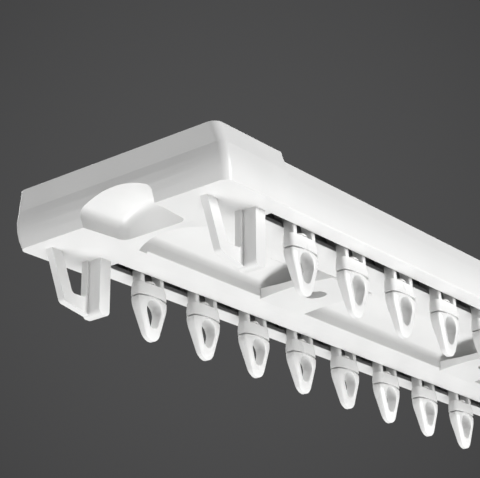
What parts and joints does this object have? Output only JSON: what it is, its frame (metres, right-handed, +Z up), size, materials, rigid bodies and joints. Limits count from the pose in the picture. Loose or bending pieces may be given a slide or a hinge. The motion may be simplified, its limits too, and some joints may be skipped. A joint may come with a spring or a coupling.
{
  "type": "curtain track",
  "caption": "Short white twin-rail ceiling curtain track with moulded end caps, clamp plates, and rolling gliders whose swivel eyelets hang below two slots.",
  "frame": {"origin": "middle of the flat seat that bears on the ceiling", "axes": "+X along the track, +Y across it towards the back rail, +Z up out of the ceiling seat"},
  "size_m": [0.32, 0.08, 0.038],
  "materials": {
    "track_white": "satin white coat on an extrusion",
    "moulding_white": "satin moulded plastic",
    "glider_white": "polished moulded plastic",
    "wheel_white": "plain moulded plastic",
    "axle_steel": "plain drawn pin"
  },
  "bodies": {
    "track": {"track_profile": "track_white", "left_end_cap": "moulding_white", "right_end_cap": "moulding_white", "left_clamp_plate": "moulding_white", "right_clamp_plate": "moulding_white"},
    "back_glider_1_carriage": {"back_glider_1_yoke": "glider_white", "back_glider_1_axle": "axle_steel"},
    "back_glider_1_wheelset": {"back_glider_1_wheels": "wheel_white"},
    "back_glider_1_swivel": {"back_glider_1_eyelet": "glider_white"},
    "back_glider_2_carriage": {"back_glider_2_yoke": "glider_white", "back_glider_2_axle": "axle_steel"},
    "back_glider_2_wheelset": {"back_glider_2_wheels": "wheel_white"},
    "back_glider_2_swivel": {"back_glider_2_eyelet": "glider_white"},
    "back_glider_3_carriage": {"back_glider_3_yoke": "glider_white", "back_glider_3_axle": "axle_steel"},
    "back_glider_3_wheelset": {"back_glider_3_wheels": "wheel_white"},
    "back_glider_3_swivel": {"back_glider_3_eyelet": "glider_white"},
    "back_glider_4_carriage": {"back_glider_4_yoke": "glider_white", "back_glider_4_axle": "axle_steel"},
    "back_glider_4_wheelset": {"back_glider_4_wheels": "wheel_white"},
    "back_glider_4_swivel": {"back_glider_4_eyelet": "glider_white"},
    "back_glider_5_carriage": {"back_glider_5_yoke": "glider_white", "back_glider_5_axle": "axle_steel"},
    "back_glider_5_wheelset": {"back_glider_5_wheels": "wheel_white"},
    "back_glider_5_swivel": {"back_glider_5_eyelet": "glider_white"},
    "back_glider_6_carriage": {"back_glider_6_yoke": "glider_white", "back_glider_6_axle": "axle_steel"},
    "back_glider_6_wheelset": {"back_glider_6_wheels": "wheel_white"},
    "back_glider_6_swivel": {"back_glider_6_eyelet": "glider_white"},
    "back_glider_7_carriage": {"back_glider_7_yoke": "glider_white", "back_glider_7_axle": "axle_steel"},
    "back_glider_7_wheelset": {"back_glider_7_wheels": "wheel_white"},
    "back_glider_7_swivel": {"back_glider_7_eyelet": "glider_white"},
    "back_glider_8_carriage": {"back_glider_8_yoke": "glider_white", "back_glider_8_axle": "axle_steel"},
    "back_glider_8_wheelset": {"back_glider_8_wheels": "wheel_white"},
    "back_glider_8_swivel": {"back_glider_8_eyelet": "glider_white"},
    "front_glider_1_carriage": {"front_glider_1_yoke": "glider_white", "front_glider_1_axle": "axle_steel"},
    "front_glider_1_wheelset": {"front_glider_1_wheels": "wheel_white"},
    "front_glider_1_swivel": {"front_glider_1_eyelet": "glider_white"},
    "front_glider_2_carriage": {"front_glider_2_yoke": "glider_white", "front_glider_2_axle": "axle_steel"},
    "front_glider_2_wheelset": {"front_glider_2_wheels": "wheel_white"},
    "front_glider_2_swivel": {"front_glider_2_eyelet": "glider_white"},
    "front_glider_3_carriage": {"front_glider_3_yoke": "glider_white", "front_glider_3_axle": "axle_steel"},
    "front_glider_3_wheelset": {"front_glider_3_wheels": "wheel_white"},
    "front_glider_3_swivel": {"front_glider_3_eyelet": "glider_white"},
    "front_glider_4_carriage": {"front_glider_4_yoke": "glider_white", "front_glider_4_axle": "axle_steel"},
    "front_glider_4_wheelset": {"front_glider_4_wheels": "wheel_white"},
    "front_glider_4_swivel": {"front_glider_4_eyelet": "glider_white"},
    "front_glider_5_carriage": {"front_glider_5_yoke": "glider_white", "front_glider_5_axle": "axle_steel"},
    "front_glider_5_wheelset": {"front_glider_5_wheels": "wheel_white"},
    "front_glider_5_swivel": {"front_glider_5_eyelet": "glider_white"}
  },
  "joints": [
    {"name": "back_glider_1_slide", "type": "slide", "parent": "track", "child": "back_glider_1_carriage", "axis": [1, 0, 0], "range_m": [-0.013, 0.0135]},
    {"name": "back_glider_1_roll", "type": "hinge", "parent": "back_glider_1_carriage", "child": "back_glider_1_wheelset", "pos_m": [-0.1092, 0.0293, -0.0103], "axis": [0, 1, 0], "continuous": true},
    {"name": "back_glider_1_turn", "type": "hinge", "parent": "back_glider_1_carriage", "child": "back_glider_1_swivel", "pos_m": [-0.1092, 0.0293, -0.0245], "axis": [0, 0, 1], "continuous": true},
    {"name": "back_glider_2_slide", "type": "slide", "parent": "track", "child": "back_glider_2_carriage", "axis": [1, 0, 0], "range_m": [-0.0135, 0.0135]},
    {"name": "back_glider_2_roll", "type": "hinge", "parent": "back_glider_2_carriage", "child": "back_glider_2_wheelset", "pos_m": [-0.0812, 0.0293, -0.0103], "axis": [0, 1, 0], "continuous": true},
    {"name": "back_glider_2_turn", "type": "hinge", "parent": "back_glider_2_carriage", "child": "back_glider_2_swivel", "pos_m": [-0.0812, 0.0293, -0.0245], "axis": [0, 0, 1], "continuous": true},
    {"name": "back_glider_3_slide", "type": "slide", "parent": "track", "child": "back_glider_3_carriage", "axis": [1, 0, 0], "range_m": [-0.0135, 0.0135]},
    {"name": "back_glider_3_roll", "type": "hinge", "parent": "back_glider_3_carriage", "child": "back_glider_3_wheelset", "pos_m": [-0.0532, 0.0293, -0.0103], "axis": [0, 1, 0], "continuous": true},
    {"name": "back_glider_3_turn", "type": "hinge", "parent": "back_glider_3_carriage", "child": "back_glider_3_swivel", "pos_m": [-0.0532, 0.0293, -0.0245], "axis": [0, 0, 1], "continuous": true},
    {"name": "back_glider_4_slide", "type": "slide", "parent": "track", "child": "back_glider_4_carriage", "axis": [1, 0, 0], "range_m": [-0.0135, 0.0135]},
    {"name": "back_glider_4_roll", "type": "hinge", "parent": "back_glider_4_carriage", "child": "back_glider_4_wheelset", "pos_m": [-0.0252, 0.0293, -0.0103], "axis": [0, 1, 0], "continuous": true},
    {"name": "back_glider_4_turn", "type": "hinge", "parent": "back_glider_4_carriage", "child": "back_glider_4_swivel", "pos_m": [-0.0252, 0.0293, -0.0245], "axis": [0, 0, 1], "continuous": true},
    {"name": "back_glider_5_slide", "type": "slide", "parent": "track", "child": "back_glider_5_carriage", "axis": [1, 0, 0], "range_m": [-0.0135, 0.0135]},
    {"name": "back_glider_5_roll", "type": "hinge", "parent": "back_glider_5_carriage", "child": "back_glider_5_wheelset", "pos_m": [0.0028, 0.0293, -0.0103], "axis": [0, 1, 0], "continuous": true},
    {"name": "back_glider_5_turn", "type": "hinge", "parent": "back_glider_5_carriage", "child": "back_glider_5_swivel", "pos_m": [0.0028, 0.0293, -0.0245], "axis": [0, 0, 1], "continuous": true},
    {"name": "back_glider_6_slide", "type": "slide", "parent": "track", "child": "back_glider_6_carriage", "axis": [1, 0, 0], "range_m": [-0.0135, 0.0135]},
    {"name": "back_glider_6_roll", "type": "hinge", "parent": "back_glider_6_carriage", "child": "back_glider_6_wheelset", "pos_m": [0.0308, 0.0293, -0.0103], "axis": [0, 1, 0], "continuous": true},
    {"name": "back_glider_6_turn", "type": "hinge", "parent": "back_glider_6_carriage", "child": "back_glider_6_swivel", "pos_m": [0.0308, 0.0293, -0.0245], "axis": [0, 0, 1], "continuous": true},
    {"name": "back_glider_7_slide", "type": "slide", "parent": "track", "child": "back_glider_7_carriage", "axis": [1, 0, 0], "range_m": [-0.0135, 0.0135]},
    {"name": "back_glider_7_roll", "type": "hinge", "parent": "back_glider_7_carriage", "child": "back_glider_7_wheelset", "pos_m": [0.0588, 0.0293, -0.0103], "axis": [0, 1, 0], "continuous": true},
    {"name": "back_glider_7_turn", "type": "hinge", "parent": "back_glider_7_carriage", "child": "back_glider_7_swivel", "pos_m": [0.0588, 0.0293, -0.0245], "axis": [0, 0, 1], "continuous": true},
    {"name": "back_glider_8_slide", "type": "slide", "parent": "track", "child": "back_glider_8_carriage", "axis": [1, 0, 0], "range_m": [-0.0135, 0.0354]},
    {"name": "back_glider_8_roll", "type": "hinge", "parent": "back_glider_8_carriage", "child": "back_glider_8_wheelset", "pos_m": [0.0868, 0.0293, -0.0103], "axis": [0, 1, 0], "continuous": true},
    {"name": "back_glider_8_turn", "type": "hinge", "parent": "back_glider_8_carriage", "child": "back_glider_8_swivel", "pos_m": [0.0868, 0.0293, -0.0245], "axis": [0, 0, 1], "continuous": true},
    {"name": "front_glider_1_slide", "type": "slide", "parent": "track", "child": "front_glider_1_carriage", "axis": [1, 0, 0], "range_m": [-0.013, 0.0135]},
    {"name": "front_glider_1_roll", "type": "hinge", "parent": "front_glider_1_carriage", "child": "front_glider_1_wheelset", "pos_m": [-0.1092, -0.0293, -0.0103], "axis": [0, 1, 0], "continuous": true},
    {"name": "front_glider_1_turn", "type": "hinge", "parent": "front_glider_1_carriage", "child": "front_glider_1_swivel", "pos_m": [-0.1092, -0.0293, -0.0245], "axis": [0, 0, 1], "continuous": true},
    {"name": "front_glider_2_slide", "type": "slide", "parent": "track", "child": "front_glider_2_carriage", "axis": [1, 0, 0], "range_m": [-0.0135, 0.0135]},
    {"name": "front_glider_2_roll", "type": "hinge", "parent": "front_glider_2_carriage", "child": "front_glider_2_wheelset", "pos_m": [-0.0812, -0.0293, -0.0103], "axis": [0, 1, 0], "continuous": true},
    {"name": "front_glider_2_turn", "type": "hinge", "parent": "front_glider_2_carriage", "child": "front_glider_2_swivel", "pos_m": [-0.0812, -0.0293, -0.0245], "axis": [0, 0, 1], "continuous": true},
    {"name": "front_glider_3_slide", "type": "slide", "parent": "track", "child": "front_glider_3_carriage", "axis": [1, 0, 0], "range_m": [-0.0135, 0.0135]},
    {"name": "front_glider_3_roll", "type": "hinge", "parent": "front_glider_3_carriage", "child": "front_glider_3_wheelset", "pos_m": [-0.0532, -0.0293, -0.0103], "axis": [0, 1, 0], "continuous": true},
    {"name": "front_glider_3_turn", "type": "hinge", "parent": "front_glider_3_carriage", "child": "front_glider_3_swivel", "pos_m": [-0.0532, -0.0293, -0.0245], "axis": [0, 0, 1], "continuous": true},
    {"name": "front_glider_4_slide", "type": "slide", "parent": "track", "child": "front_glider_4_carriage", "axis": [1, 0, 0], "range_m": [-0.0135, 0.0135]},
    {"name": "front_glider_4_roll", "type": "hinge", "parent": "front_glider_4_carriage", "child": "front_glider_4_wheelset", "pos_m": [-0.0252, -0.0293, -0.0103], "axis": [0, 1, 0], "continuous": true},
    {"name": "front_glider_4_turn", "type": "hinge", "parent": "front_glider_4_carriage", "child": "front_glider_4_swivel", "pos_m": [-0.0252, -0.0293, -0.0245], "axis": [0, 0, 1], "continuous": true},
    {"name": "front_glider_5_slide", "type": "slide", "parent": "track", "child": "front_glider_5_carriage", "axis": [1, 0, 0], "range_m": [-0.0135, 0.1194]},
    {"name": "front_glider_5_roll", "type": "hinge", "parent": "front_glider_5_carriage", "child": "front_glider_5_wheelset", "pos_m": [0.0028, -0.0293, -0.0103], "axis": [0, 1, 0], "continuous": true},
    {"name": "front_glider_5_turn", "type": "hinge", "parent": "front_glider_5_carriage", "child": "front_glider_5_swivel", "pos_m": [0.0028, -0.0293, -0.0245], "axis": [0, 0, 1], "continuous": true}
  ],
  "couplings": [
    {"joint": "back_glider_1_roll", "follows": "back_glider_1_slide", "rad_per_m": 200},
    {"joint": "back_glider_2_roll", "follows": "back_glider_2_slide", "rad_per_m": 200},
    {"joint": "back_glider_3_roll", "follows": "back_glider_3_slide", "rad_per_m": 200},
    {"joint": "back_glider_4_roll", "follows": "back_glider_4_slide", "rad_per_m": 200},
    {"joint": "back_glider_5_roll", "follows": "back_glider_5_slide", "rad_per_m": 200},
    {"joint": "back_glider_6_roll", "follows": "back_glider_6_slide", "rad_per_m": 200},
    {"joint": "back_glider_7_roll", "follows": "back_glider_7_slide", "rad_per_m": 200},
    {"joint": "back_glider_8_roll", "follows": "back_glider_8_slide", "rad_per_m": 200},
    {"joint": "front_glider_1_roll", "follows": "front_glider_1_slide", "rad_per_m": 200},
    {"joint": "front_glider_2_roll", "follows": "front_glider_2_slide", "rad_per_m": 200},
    {"joint": "front_glider_3_roll", "follows": "front_glider_3_slide", "rad_per_m": 200},
    {"joint": "front_glider_4_roll", "follows": "front_glider_4_slide", "rad_per_m": 200},
    {"joint": "front_glider_5_roll", "follows": "front_glider_5_slide", "rad_per_m": 200}
  ]
}
